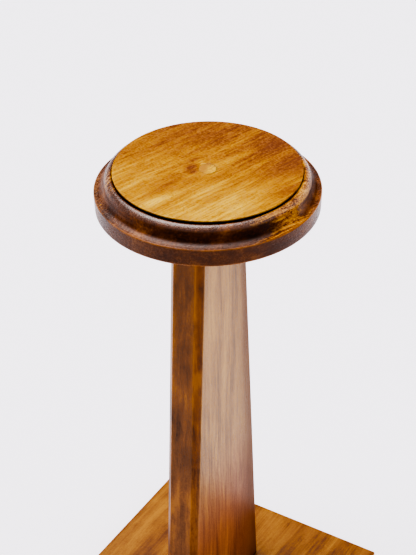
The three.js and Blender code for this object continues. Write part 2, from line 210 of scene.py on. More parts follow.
# Directions toward the wide overhead light, and toward two weaker ones on the right and in front.
SOFTBOX = (-0.32, 0.1, 0.94)
FILL_RIGHT = (0.86, 0.36, 0.36)
FILL_FRONT = (-0.15, -0.9, 0.42)
LIGHT_COLOUR = (1.0, 0.985, 1.0)
FLOOR_HALF = 30
# The floor fades this far from the table, toward its front.
FLOOR_FADE = 0.9
TOWARD_FRONT = (0.53, -0.85, 0.0)


def make_world():
    """A pale horizon all round, and a dim room above it."""
    world = bpy.data.worlds.new("studio")
    world.use_nodes = True
    g = Graph(world.node_tree)
    direction = g.node("ShaderNodeTexCoord").outputs["Generated"]
    height = g.node("ShaderNodeSeparateXYZ", {0: direction}).outputs["Z"]
    spill = g.span(g.dot(direction, SOFTBOX), 0.6, 0.9, 0.0, 0.3)
    strength = g.plus(g.span(height, 0.0, HORIZON_HEIGHT, HORIZON_GLOW, ROOM_GLOW), spill)
    sky = g.node("ShaderNodeBackground", {"Color": rgb(0.99, 0.975, 1.0), "Strength": strength})
    g.node("ShaderNodeOutputWorld", {"Surface": sky.outputs[0]})
    bpy.context.scene.world = world


def make_floor():
    """A wide pale floor that glows a little, so it looks evenly lit. It is dimmer before the table."""
    corners = [(u * FLOOR_HALF, v * FLOOR_HALF, 0) for u, v in SQUARE]
    mesh = bpy.data.meshes.new("floor")
    mesh.from_pydata(corners, [], [(0, 1, 2, 3)])
    floor = bpy.data.objects.new("floor", mesh)
    bpy.context.scene.collection.objects.link(floor)
    material, g = new_material("floor_paper")
    place = g.place()
    lit = g.span(g.dot(place, TOWARD_FRONT), FLOOR_FADE, 0.0)
    glow = g.plus(g.times(lit, 0.29), 0.16)
    fine = g.span(g.noise(place, 350, 3), 0.2, 0.8, 0.995, 1.0)
    tone = g.times(fine, g.plus(g.times(lit, 0.13), 0.62))
    colour = g.mix(tone, rgb(0, 0, 0), rgb(1.0, 0.975, 1.0))
    inputs = {
        "Base Color": colour,
        "Roughness": 0.9,
        "Specular IOR Level": 0.1,
        "Emission Color": rgb(1.0, 0.965, 1.1),
        "Emission Strength": glow,
    }
    g.surface(inputs)
    mesh.materials.append(material)


def make_soft_light(name, direction, spread, energy):
    """A large soft light far away. Spread is its width as the table sees it, in degrees."""
    data = bpy.data.lights.new(name, "SUN")
    data.angle = math.radians(spread)
    data.energy = energy
    data.color = LIGHT_COLOUR
    light = bpy.data.objects.new(name, data)
    light.rotation_euler = Vector(direction).to_track_quat("Z", "Y").to_euler()
    bpy.context.scene.collection.objects.link(light)


def make_studio():
    make_world()
    make_floor()
    make_soft_light("softbox", SOFTBOX, spread=56, energy=2.6)
    make_soft_light("fill_right", FILL_RIGHT, spread=80, energy=0.9)
    make_soft_light("fill_front", FILL_FRONT, spread=120, energy=0.7)
    view = bpy.context.scene.view_settings
    view.view_transform = "AgX"
    view.look = "AgX - Very High Contrast"


# ---- Mesh making.


def piece(name, vertices, faces, body, material, replaced, attributes=None):
    """A smooth mesh that stands for the replaced nodes. With no body, the caller has it ride later."""
    mesh = bpy.data.meshes.new(name)
    mesh.from_pydata([tuple(v) for v in vertices], [], faces)
    mesh.update()
    for key, values in (attributes or {}).items():
        layer = mesh.attributes.new(key, "FLOAT", "POINT")
        layer.data.foreach_set("value", np.asarray(values, np.float32))
    made = bpy.data.objects.new(name, mesh)
    bpy.context.scene.collection.objects.link(made)
    mesh.shade_smooth()
    mesh.materials.append(material)
    if body:
        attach(made, body)
    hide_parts(*replaced)
    return made


def smoothstep(low, high, value):
    """0 at low and before it, 1 at high and past it, and a smooth step between."""
    t = np.clip((np.asarray(value, float) - low) / (high - low), 0, 1)
    return t * t * (3 - 2 * t)


def curve_points(p0, p1, p2, p3, steps):
    """Points of a cubic Bezier after its first one."""
    t = np.linspace(0, 1, steps + 1)[1:, None]
    p0, p1, p2, p3 = (np.asarray(p, float) for p in (p0, p1, p2, p3))
    return (1 - t) ** 3 * p0 + 3 * (1 - t) ** 2 * t * p1 + 3 * (1 - t) * t**2 * p2 + t**3 * p3


def line_points(p0, p1, step):
    """Points after p0, evenly spaced, up to p1."""
    p0, p1 = np.asarray(p0, float), np.asarray(p1, float)
    count = max(1, int(math.ceil(np.linalg.norm(p1 - p0) / step)))
    t = np.linspace(0, 1, count + 1)[1:, None]
    return p0 + t * (p1 - p0)


def lathe(profile, segments):
    """Vertices and faces of a closed turned form. The profile is (r, z) points from axis to axis, going
    up the outside."""
    angles = np.linspace(0, 2 * math.pi, segments, endpoint=False)
    vertices, rings = [], []
    for r, z in profile:
        if r < 1e-9:
            rings.append([len(vertices)])
            vertices.append((0, 0, z))
        else:
            rings.append(list(range(len(vertices), len(vertices) + segments)))
            vertices.extend((r * math.cos(a), r * math.sin(a), z) for a in angles)
    faces = []
    for low, high in zip(rings, rings[1:]):
        for i in range(segments):
            j = (i + 1) % segments
            if len(low) == 1:
                faces.append((low[0], high[j], high[i]))
            elif len(high) == 1:
                faces.append((low[i], low[j], high[0]))
            else:
                faces.append((low[i], low[j], high[j], high[i]))
    return np.array(vertices), faces


def carve(target, corners):
    """Cuts the box with these corners out of a piece."""
    mesh = bpy.data.meshes.new("cutter")
    mesh.from_pydata([tuple(v) for v in corners], [], BOX_FACES)
    cutter = bpy.data.objects.new("cutter", mesh)
    bpy.context.scene.collection.objects.link(cutter)
    cut = target.modifiers.new("cut", "BOOLEAN")
    cut.operation = "DIFFERENCE"
    cut.solver = "EXACT"
    cut.object = cutter
    depsgraph = bpy.context.evaluated_depsgraph_get()
    carved = bpy.data.meshes.new_from_object(target.evaluated_get(depsgraph))
    target.modifiers.clear()
    target.data = carved
    bpy.data.objects.remove(cutter)


# ---- The top.

# From the flat outward and down, the edge has a small upright step (the quirk), a moulding with its
# waist half way down, a lip, and below the lip an upright band whose height is from the underside.
FLAT_RADIUS = 100 * MM
QUIRK_DEPTH = 3.4 * MM
BAND_HEIGHT = 19.5 * MM
WAIST_RADIUS = FLAT_RADIUS + 0.45 * (TOP_RADIUS - FLAT_RADIUS)
LIP_RADIUS = TOP_RADIUS - 1.3 * MM
# The gap round the plug, and how deep the swell is that scraping left on the flat.
SEAM = 0.15 * MM
SCRAPE_DEPTH = 0.05 * MM


def top_profile():
    """Half the top's section, from the centre of its underside to the bottom of the plug's seat. Its
    heights start at the underside."""
    radius, high = TOP_RADIUS, TOP_THICKNESS
    shoulder = (FLAT_RADIUS + 0.9 * MM, high - QUIRK_DEPTH)
    waist = (WAIST_RADIUS, (shoulder[1] + BAND_HEIGHT) / 2)
    lip = (LIP_RADIUS, BAND_HEIGHT + 0.9 * MM)
    foot = radius - 0.7 * MM
    ease = 1.6 * MM
    band_top = (radius - 0.1 * MM, BAND_HEIGHT - 0.9 * MM)
    quirk_foot = (FLAT_RADIUS, shoulder[1] - 0.2 * MM)
    quirk_top = (FLAT_RADIUS, high - 0.6 * MM)
    flat_edge = (FLAT_RADIUS - 0.8 * MM, high)
    seat_radius = PLUG_HIGH.x + SEAM
    seat_depth = high - (PLUG_HIGH.z - PLUG_LOW.z) - SEAM
    stretches = [
        np.array([[0, 0]]),
        line_points((0, 0), (foot - ease, 0), 4 * MM),
        curve_points((foot - ease, 0), (foot - 0.4 * ease, 0), (foot, 0.6 * ease), (foot, ease), 6),
        line_points((foot, ease), band_top, 1.2 * MM),
        curve_points(
            band_top,
            (radius, BAND_HEIGHT + 0.1 * MM),
            (radius - 0.4 * MM, BAND_HEIGHT + 0.9 * MM),
            lip,
            6,
        ),
        curve_points(
            lip,
            ((lip[0] + waist[0]) / 2, lip[1]),
            (waist[0], (lip[1] + waist[1]) / 2),
            waist,
            18,
        ),
        curve_points(
            waist,
            (waist[0], (waist[1] + shoulder[1]) / 2),
            ((waist[0] + shoulder[0]) / 2, shoulder[1]),
            shoulder,
            18,
        ),
        line_points(shoulder, quirk_foot, 0.5 * MM),
        line_points(quirk_foot, quirk_top, 0.8 * MM),
        curve_points(
            quirk_top,
            (FLAT_RADIUS, high - 0.15 * MM),
            (FLAT_RADIUS - 0.2 * MM, high),
            flat_edge,
            5,
        ),
        line_points(flat_edge, (seat_radius + 0.3 * MM, high), 3 * MM),
        np.array([[seat_radius, high - 0.12 * MM], [seat_radius, seat_depth], [0, seat_depth]]),
    ]
    return np.concatenate(stretches)


# The direction of the top's grain, as an angle round Z.
GRAIN_ANGLE = math.radians(73)

# Marks on the flat: their place, half length along the grain and half width across it, all in
# millimetres, and their strength.
RUDDY_MARKS = [
    (-22, 7, 6, 4, 1.0),
    (-17, -5, 9, 5, 1.8),
    (-9, -13, 6, 5, 1.4),
    (-20, -52, 24, 9, 1.0),
    (-8, -30, 16, 4, 0.6),
    (74, 50, 44, 20, 1.2),
    (92, 10, 24, 9, 0.9),
    (64, 4, 18, 8, 0.6),
    (32, 76, 26, 20, 1.0),
    (-52, 52, 40, 30, 0.35),
    (-70, 10, 30, 14, 0.2),
    (62, -26, 12, 6, 0.5),
]
PALE_MARKS = [
    (-21, -18, 6, 6, 1.0),
    (-12, 5, 7, 5, 2.2),
    (14, 34, 30, 3, 0.9),
    (-45, -38, 50, 4, 1.0),
    (-8, -74, 26, 6, 0.9),
    (58, -46, 42, 17, 1.0),
    (16, -84, 26, 9, 1.0),
    (-80, 14, 24, 4, 0.6),
    (27, -20, 40, 3, 0.9),
    (-38, 8, 26, 5, 0.7),
    (-2, 22, 18, 6, 0.7),
]


def marked(x, y, marks):
    """How strongly each point of the flat lies in any of the marks."""
    strongest = np.zeros(len(x))
    for mark_x, mark_y, half_length, half_width, strength in marks:
        dx, dy = x / MM - mark_x, y / MM - mark_y
        u = (dx * math.cos(GRAIN_ANGLE) + dy * math.sin(GRAIN_ANGLE)) / half_length
        v = (dy * math.cos(GRAIN_ANGLE) - dx * math.sin(GRAIN_ANGLE)) / half_width
        strongest = np.maximum(strongest, strength * np.exp(-(u**2 + v**2)))
    return strongest


def turn_from_front(x, y):
    """The angle round the top from its front, in degrees, positive to the right."""
    turn = np.degrees(np.arctan2(y, x) - FRONT_ANGLE)
    return (turn + 180) % 360 - 180


def front_and_aside(x, y):
    """How far points lie toward the front, and how far to the right of the axis as seen from there."""
    c, s = math.cos(FRONT_ANGLE), math.sin(FRONT_ANGLE)
    return x * c + y * s, y * c - x * s


def around(turn, centre, half):
    """1 close to the angle centre, falling to 0 at half degrees away from it."""
    off = np.abs((turn - centre + 180) % 360 - 180)
    return smoothstep(half, 0.35 * half, off)


def rubbed_zones(turn, low):
    """Where hands have worn the stain off the moulding, and the painted shade in the cove beside it.
    Low runs from 0 at the shoulder to 1 at the lip."""
    shoulder = smoothstep(0.5, 0.25, low) * smoothstep(0, 54, turn) * smoothstep(112, 96, turn)
    middle = around(turn, 47, 19) * smoothstep(0.95, 0.8, low)
    lip = smoothstep(0.72, 0.88, low) * smoothstep(8, 44, turn) * smoothstep(74, 48, turn)
    rolls = np.maximum(smoothstep(0.5, 0.3, low), smoothstep(0.7, 0.9, low))
    faint = 0.4 * around(turn, -80, 26) * rolls
    # Painted shade in the cove on the right side.
    right_cove_shade = smoothstep(0.3, 0.5, low) * smoothstep(46, 72, turn) * smoothstep(112, 88, turn)
    right_cove_shade = right_cove_shade * smoothstep(0.9, 0.7, low)
    return np.maximum.reduce([shoulder, middle, lip, faint]) * (1 - 0.9 * right_cove_shade), right_cove_shade


def top_attributes(vertices):
    """Where the stain is dark, where the seam is dark, where shade and a sheen are painted, and where
    hands have worn it, at each vertex.
    """
    x, y, z = vertices.T
    r = np.hypot(x, y)
    high = TOP_THICKNESS
    up = z - TOP_LOW.z
    outside = smoothstep(FLAT_RADIUS - 0.3 * MM, FLAT_RADIUS + 0.2 * MM, r)
    in_seat = (r < PLUG_HIGH.x + 1 * MM) & (up > 1 * MM)
    stain = np.maximum(outside, smoothstep(high - 0.9 * MM, high - 2 * MM, up) * ~in_seat)
    # Painted shadow: a black line in the quirk below the flat's edge.
    quirk_shadow = smoothstep(1.3 * MM, 0.3 * MM, np.abs(r - FLAT_RADIUS - 0.1 * MM))
    quirk_shadow = quirk_shadow * smoothstep(high - 0.9 * MM, high - 2.0 * MM, up)
    from_cove = np.hypot(r - WAIST_RADIUS - 2.0 * MM, 1.3 * (up - BAND_HEIGHT - 5.5 * MM))
    from_lip = np.hypot(r - TOP_RADIUS + 0.3 * MM, up - BAND_HEIGHT - 0.3 * MM)
    cove_shade = smoothstep(7.5 * MM, 1 * MM, from_cove)
    lip = smoothstep(1.5 * MM, 0.1 * MM, from_lip)
    bottom = smoothstep(2.2 * MM, 0.2 * MM, np.hypot(r - TOP_RADIUS + 0.7 * MM, up - 0.3 * MM))
    rim = smoothstep(1.3 * MM, 0.2 * MM, np.hypot(r - FLAT_RADIUS, up - high))
    seam = smoothstep(0.8 * MM, 0.1 * MM, np.abs(r - PLUG_HIGH.x)) * (up > high - 1 * MM)
    moulding = outside * (up > BAND_HEIGHT - 0.2 * MM)
    turn = turn_from_front(x, y)
    # Low is 0 at the shoulder, a half at the waist and 1 at the lip.
    drop = (high - QUIRK_DEPTH - up) / (high - QUIRK_DEPTH - BAND_HEIGHT)
    out = np.clip((r - WAIST_RADIUS) / (LIP_RADIUS - WAIST_RADIUS), 0, 1)
    low = np.where(drop < 0.5, drop, 0.5 + 0.5 * out)
    front, aside = front_and_aside(x, y)
    rubbed, right_cove_shade = rubbed_zones(turn, low)
    deep = moulding * smoothstep(0.1, 0.34, low) * smoothstep(0.76, 0.62, low)
    shaded = deep * (0.4 + 0.6 * around(turn, -5, 80))
    inner = moulding * smoothstep(3.4 * MM, 1.4 * MM, r - FLAT_RADIUS)
    # Painted shade in the cove: darkest toward the front, and lighter over the worn patch.
    cove_shade = np.maximum(0.85 * cove_shade, 0.7 * deep) * (0.3 + 0.7 * around(turn, 4, 58))
    cove_shade = cove_shade * (1 - 0.8 * around(turn, 51, 17))
    return {
        "stain": stain,
        "band": smoothstep(BAND_HEIGHT + 0.4 * MM, BAND_HEIGHT - 0.6 * MM, up),
        "under": smoothstep(0.3 * MM, 0, up),
        # The painted shadow in the quirk is darkest at the front and thinner toward the sides.
        "quirk_shadow": quirk_shadow * (0.55 + 0.45 * around(turn, 0, 100)),
        "cove_shade": np.maximum(cove_shade, 0.6 * moulding * right_cove_shade),
        "seam": seam * smoothstep(-0.6, 0.6, (x + y) / PLUG_HIGH.x),
        "wear": np.maximum(lip, np.maximum(bottom, 0.5 * rim)),
        "rub": moulding * rubbed,
        "ruddy": marked(x, y, RUDDY_MARKS),
        "pale": marked(x, y, PALE_MARKS),
        # Painted sheen: the flat is painted paler toward its front.
        "front": smoothstep(-1.1 * FLAT_RADIUS, FLAT_RADIUS, front - 0.3 * aside),
        "deep": np.maximum.reduce([shaded, moulding * right_cove_shade, 1.4 * inner]),
        "shine": moulding * (smoothstep(0.3, 0.12, low) - 0.7 * smoothstep(0.66, 0.8, low)),
    }


def make_top():
    """The turned top. Scraping has left a faint swell on its flat."""
    profile = top_profile() + np.array([0, TOP_LOW.z])
    vertices, faces = lathe(profile, 320)
    x, y, z = vertices.T
    r = np.hypot(x, y)
    flat = (z > TOP_HIGH.z - 0.01 * MM) & (r > 15 * MM) & (r < FLAT_RADIUS - 2 * MM)
    swell = np.array([noise.noise(Vector((a * 28, b * 28, 0.5))) for a, b in zip(x[flat], y[flat])])
    vertices[flat, 2] -= SCRAPE_DEPTH * (1 + swell)
    piece(
        "top_disc",
        vertices,
        faces,
        "top",
        top_wood(),
        ["top_board"],
        top_attributes(vertices),
    )


def make_plug():
    """The round plug in the hole that turning left."""
    radius = PLUG_HIGH.x
    low, high = PLUG_LOW.z, PLUG_HIGH.z
    ease = 0.25 * MM
    side_top, rim = (radius, high - ease), (radius - 2 * ease, high)
    profile = np.concatenate(
        [
            [[0, low], [radius - 1 * MM, low], [radius, low + 1 * MM]],
            line_points((radius, low + 1 * MM), side_top, 2 * MM),
            curve_points(side_top, (radius, high), (radius - 0.1 * MM, high), rim, 4),
            line_points(rim, (0, high), 1.5 * MM),
        ]
    )
    vertices, faces = lathe(profile, 96)
    r = np.hypot(vertices[:, 0], vertices[:, 1])
    edge = smoothstep(radius - 0.9 * MM, radius - 0.1 * MM, r)
    piece(
        "plug",
        vertices,
        faces,
        "top",
        plug_wood(),
        ["centre_plug"],
        {
            "seam": edge * smoothstep(-0.6, 0.6, (vertices[:, 0] + vertices[:, 1]) / radius),
            "fade": smoothstep(0.9 * radius, -0.9 * radius, vertices[:, 0] + 0.3 * vertices[:, 1]),
        },
    )


# ---- The pillar.

PILLAR_HALF_X = PILLAR_HIGH.x
PILLAR_FOOT_HALF_Y = PILLAR_HIGH.y
PILLAR_HEAD_HALF_Y = 47 * MM
PILLAR_CHAMFER = 7.2 * MM
# The shaft ends just below the pivot block, and its tenon goes on through the block.
PILLAR_HEAD_Z = BLOCK_LOW.z - 0.3 * MM
TENON_HALF = (12 * MM, 30 * MM)
# The radius of the softened arrises, and how near to one the points beside it count as being.
ARRIS = 0.7 * MM
BESIDE_ARRIS = 0.45
PLANE_DEPTH = 0.12 * MM
# Each wedge is this thick at its bottom, and its slit leaves this much room round it.
WEDGE_THIN = 1.6 * MM
WEDGE_ROOM = 0.3 * MM

# Lighter and darker stretches of the pillar's -Y side, and a painted highlight on its chamfers
# there: their height and half height in millimetres, and how much lighter they are.
SIDE_MARKS = [(442, 26, -0.06), (358, 36, 0.13), (203, 32, 0.23), (140, 20, -0.08)]
CHAMFER_HIGHLIGHTS = [(388, 12, 0.5)]


def softened_outline(corners, radius, support, steps, parts):
    """A convex outline with each corner rounded. Gives points and, for each, how near it is to an
    arris. Side i has a support point close to each of its two arcs, and parts[i] stretches between."""
    points, nearness = [], []
    count = len(corners)
    corners = [np.asarray(c, float) for c in corners]
    for i, corner in enumerate(corners):
        before = corners[i - 1] - corner
        after = corners[(i + 1) % count] - corner
        length = np.linalg.norm(after)
        u, v = before / np.linalg.norm(before), after / length
        half_turn = (math.pi - math.acos(np.clip(u @ v, -1, 1))) / 2
        back = radius * math.tan(half_turn)
        start, end = corner + u * back, corner + v * back
        points.append(start + u * support)
        nearness.append(BESIDE_ARRIS)
        for k in range(steps + 1):
            t = k / steps
            points.append((1 - t) ** 2 * start + 2 * t * (1 - t) * corner + t**2 * end)
            nearness.append(1.0)
        points.append(end + v * support)
        nearness.append(BESIDE_ARRIS)
        inner = length - 2 * (back + support)
        for k in range(1, parts[i]):
            points.append(end + v * (support + inner * k / parts[i]))
            nearness.append(0.0)
    return np.array(points), np.array(nearness)


def chamfered(half_x, half_y, chamfer):
    """The corners of a chamfered rectangle."""
    return [
        (half_x, -half_y + chamfer),
        (half_x, half_y - chamfer),
        (half_x - chamfer, half_y),
        (-half_x + chamfer, half_y),
        (-half_x, half_y - chamfer),
        (-half_x, -half_y + chamfer),
        (-half_x + chamfer, -half_y),
        (half_x - chamfer, -half_y),
    ]


def loft(rings):
    """Closed solid through rings of points with the same count, capped at both ends."""
    count = len(rings[0])
    vertices = np.concatenate(rings)
    faces = [tuple(reversed(range(count)))]
    for k in range(len(rings) - 1):
        low, high = k * count, (k + 1) * count
        for i in range(count):
            j = (i + 1) % count
            faces.append((low + i, low + j, high + j, high + i))
    faces.append(tuple(range((len(rings) - 1) * count, len(rings) * count)))
    return vertices, faces


def lightened(vertices, marks):
    """How much lighter each point of the pillar is, on its -Y half."""
    total = np.zeros(len(vertices))
    for height, half, strength in marks:
        total += strength * np.exp(-(((vertices[:, 2] / MM - height) / half) ** 2))
    return total * (vertices[:, 1] < 0)


def wedge_slit(wedge):
    """The corners of the tapered slit in the tenon for this wedge, with a little room round it."""
    low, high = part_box(wedge)
    middle = (low.y + high.y) / 2
    slit = []
    for z, thick in ((low.z - WEDGE_ROOM, WEDGE_THIN), (high.z + 1 * MM, high.y - low.y)):
        half = thick / 2 + WEDGE_ROOM
        slit.extend((u * (TENON_HALF[0] + 1 * MM), middle + v * half, z) for u, v in SQUARE)
    return slit


def make_pillar():
    """The shaft with its arrises softened and a slight hand-planed unevenness, and its head's tenon."""
    foot, head, tip = PILLAR_LOW.z, PILLAR_HEAD_Z, PILLAR_HIGH.z
    levels = np.linspace(foot + 4 * MM, head - 2 * MM, 110)
    rings, wear, stripe, chamfer = [], [], [], []
    for z in (foot, foot + 1 * MM, *levels, head):
        rise = (z - foot) / (head - foot)
        half_y = PILLAR_FOOT_HALF_Y + (PILLAR_HEAD_HALF_Y - PILLAR_FOOT_HALF_Y) * rise
        corners = chamfered(PILLAR_HALF_X, half_y, PILLAR_CHAMFER)
        ring, near = softened_outline(corners, ARRIS, 1 * MM, 4, (16, 2, 4, 2) * 2)
        swell = np.array([noise.noise(Vector((p[0] * 9, p[1] * 9, z * 7))) for p in ring])
        length = np.linalg.norm(ring, axis=1)
        ring = ring * (1 - PLANE_DEPTH * (1 + swell) / length)[:, None]
        rings.append(np.column_stack([ring, np.full(len(ring), z)]))
        side_arris = np.abs(ring[:, 1]) > half_y - 2 * MM
        wear.append(near * np.where(side_arris, 1.0, 0.2))
        stripe.append(ring[:, 1] / half_y)
        inset = np.minimum(PILLAR_HALF_X - np.abs(ring[:, 0]), half_y - np.abs(ring[:, 1]))
        chamfer.append(smoothstep(0.2 * MM, 0.9 * MM, inset))
    reach = np.abs(rings[-1][:, :2] / TENON_HALF).max(axis=1)
    tenon = rings[-1][:, :2] / reach[:, None]
    plain = np.zeros(len(tenon))
    for z, shrink in ((head, 1.0), (tip - 0.4 * MM, 1.0), (tip, 0.985)):
        rings.append(np.column_stack([tenon * shrink, plain + z]))
        wear.append(plain)
        stripe.append(tenon[:, 1] / PILLAR_HEAD_HALF_Y)
        chamfer.append(plain)
    vertices, faces = loft(rings)
    x, _, z = vertices.T
    attributes = {
        "wear": np.concatenate(wear),
        "stripe": np.concatenate(stripe),
        # Painted shade at the foot of the pillar, where it meets the base board.
        "joint_shade": smoothstep(5 * MM, 0.5 * MM, z - foot),
        "side": smoothstep(PILLAR_HALF_X - 0.6 * MM, PILLAR_HALF_X - 1.2 * MM, np.abs(x)),
        "chamfer": np.concatenate(chamfer),
        "rise": (z - foot) / (head - foot),
        "side_light": lightened(vertices, SIDE_MARKS),
        "chamfer_highlight": lightened(vertices, CHAMFER_HIGHLIGHTS),
    }
    material = pillar_wood()
    shaft = piece("shaft", vertices, faces, "stand", material, ["pillar"], attributes)
    for wedge in ("tenon_wedge_front", "tenon_wedge_back"):
        carve(shaft, wedge_slit(wedge))
    shaft.data.set_sharp_from_angle(angle=math.radians(50))


# ---- The base board.


def make_base():
    """The square board with its edges eased."""
    half = BASE_HIGH.x
    low, high = BASE_LOW.z, BASE_HIGH.z
    ease = 1.1 * MM
    corner = 1.6 * MM
    levels = [(low, ease), (low + 0.3 * ease, 0.3 * ease), (low + ease, 0)]
    levels += [(low + ease + 2 * MM, 0), (high - ease - 2 * MM, 0)]
    levels += [(high - ease, 0), (high - 0.3 * ease, 0.3 * ease), (high, ease), (high, ease + 2.5 * MM)]
    rings, wear = [], []
    for z, inset in levels:
        side = half - inset
        corners = [(side, -side), (side, side), (-side, side), (-side, -side)]
        ring, near = softened_outline(corners, corner, 1.2 * MM, 5, (20,) * 4)
        rings.append(np.column_stack([ring, np.full(len(ring), z)]))
        edge = 1.0 if inset in (ease, 0.3 * ease) else 0.0
        wear.append(np.maximum(edge, near))
    vertices, faces = loft(rings)
    x, y, z = vertices.T
    from_pillar = np.maximum(np.abs(x) - PILLAR_HALF_X, np.abs(y) - PILLAR_FOOT_HALF_Y)
    # Painted shade on the board's top round the foot of the pillar.
    joint_shade = smoothstep(6 * MM, 0, from_pillar) * (z > high - 1 * MM)
    aside = front_and_aside(x, y)[1]
    piece(
        "base",
        vertices,
        faces,
        "stand",
        base_wood(),
        ["base_board"],
        {"wear": np.concatenate(wear), "joint_shade": joint_shade, "shade": smoothstep(0.05, -0.12, aside)},
    )


# ---- Wood.

# How deep the bump makes the grain where its height goes from 0 to 1.
GRAIN_DEPTH = 0.3 * MM


def grain_values(g, rotation, shift):
    """The fields that every wood is painted from, with the grain along X once turned."""
    plain = g.place(rotation, (1, 1, 1), shift)
    wander = g.noise(g.place(source=plain, scale=(5, 22, 22)), 1, 2)
    drift = {1: g.times(wander, 0.02), 2: g.times(wander, 0.013)}
    drift = g.node("ShaderNodeCombineXYZ", drift).outputs[0]
    bent = g.node("ShaderNodeVectorMath", {0: plain, 1: drift}, operation="ADD").outputs[0]
    return {
        "broad": g.noise(g.place(source=bent, scale=(5, 60, 60)), 1, 2, 0.5),
        "streak": g.noise(g.place(source=bent, scale=(12, 330, 330)), 1, 3, 0.6),
        "fibre": g.noise(g.place(source=bent, scale=(70, 1700, 1700)), 1, 3, 0.65),
        "blotch": g.noise(g.place(source=bent, scale=(22, 44, 44)), 1, 4, 0.6),
        "mottle": g.noise(plain, 420, 3, 0.65),
        "fleck": g.noise(g.place(source=plain, scale=(130, 650, 650)), 1, 1, 0.5),
    }


def finish_wood(g, colour, height, roughness, ior=1.5):
    """A surface with the given colour, bump height and roughness."""
    normal = g.bump(height, GRAIN_DEPTH)
    return g.surface({"Base Color": colour, "Roughness": roughness, "IOR": ior, "Normal": normal})


def weave(g, fields, shares):
    """A weighted sum of grain fields, centred on a half."""
    parts = [g.swing(fields[key], share) for key, share in shares.items()]
    return g.plus(functools.reduce(g.plus, parts), 0.5)


def flat_colour(g, f, grain):
    """Golden wood with a painted sheen that makes it paler toward the front, and ruddy and pale marks
    and greyish specks.
    """
    broken = g.plus(g.span(f["blotch"], 0.25, 0.7, 0.35, 0.95), g.span(f["mottle"], 0.3, 0.7, 0.0, 0.5))
    # The front term paints a sheen: the flat is paler toward its front.
    tone = g.plus(grain, g.plus(g.times(g.attribute("front"), 0.38), -0.22))
    tone = g.plus(tone, g.times(g.times(g.attribute("pale"), broken), 0.16))
    tone = g.plus(tone, g.times(g.times(g.attribute("ruddy"), broken), -0.25))
    colour = g.ramp(
        tone,
        [
            (0.1, rgb(0.19, 0.05, 0.01)),
            (0.3, rgb(0.32, 0.112, 0.011)),
            (0.5, rgb(0.44, 0.2, 0.01)),
            (0.7, rgb(0.57, 0.325, 0.026)),
            (0.92, rgb(0.75, 0.51, 0.09)),
        ],
    )
    greyish = g.span(g.plus(f["mottle"], g.swing(f["fibre"], 0.6)), 0.48, 0.66)
    return g.mix(g.times(greyish, 0.5), colour, rgb(0.37, 0.15, 0.05))


def worn_through(g, f):
    """Where hands have worn the stain off, with ragged edges along the grain."""
    ragged = weave(g, f, {"streak": 1.3, "fibre": 0.8, "mottle": 0.6, "blotch": 0.5})
    worn_off = g.span(g.plus(g.attribute("rub"), ragged), 0.85, 1.3)
    return g.times(worn_off, g.math("SUBTRACT", 1.0, g.times(g.attribute("cove_shade"), 0.8)))


def stained_colour(g, f, worn_off):
    """Dark stain with painted shade, nearly black, in the cove, and golden wood where it is worn off.
    """
    dark = g.ramp(
        weave(g, f, {"broad": 0.5, "streak": 0.5, "fibre": 0.4, "blotch": 1.1, "mottle": 0.5}),
        [
            (0.2, rgb(0.045, 0.009, 0.001)),
            (0.45, rgb(0.105, 0.026, 0.003)),
            (0.62, rgb(0.17, 0.048, 0.006)),
            (0.8, rgb(0.3, 0.1, 0.012)),
        ],
    )
    golden = g.ramp(
        weave(g, f, {"broad": 0.9, "streak": 1.0, "fibre": 0.7, "blotch": 0.9, "mottle": 0.7}),
        [
            (0.3, rgb(0.07, 0.016, 0.004)),
            (0.42, rgb(0.27, 0.09, 0.018)),
            (0.55, rgb(0.44, 0.19, 0.036)),
            (0.78, rgb(0.62, 0.33, 0.065)),
        ],
    )
    colour = g.mix(g.times(g.attribute("band"), 0.45), dark, rgb(0.07, 0.02, 0.004))
    colour = g.mix(worn_off, colour, golden)
    patchy = weave(g, f, {"blotch": 1.6, "mottle": 1.0, "streak": 0.5})
    # Painted shade: the cove is mixed toward black, in patches.
    black = g.times(g.attribute("cove_shade"), g.span(patchy, 0.1, 0.75, 1.0, 0.55))
    colour = g.mix(black, colour, rgb(0.012, 0.002, 0.001))
    rubbed = g.times(g.attribute("wear"), g.span(f["blotch"], 0.3, 0.62, 0.25, 1.0))
    return g.mix(g.times(rubbed, 0.9), colour, rgb(0.36, 0.125, 0.015))


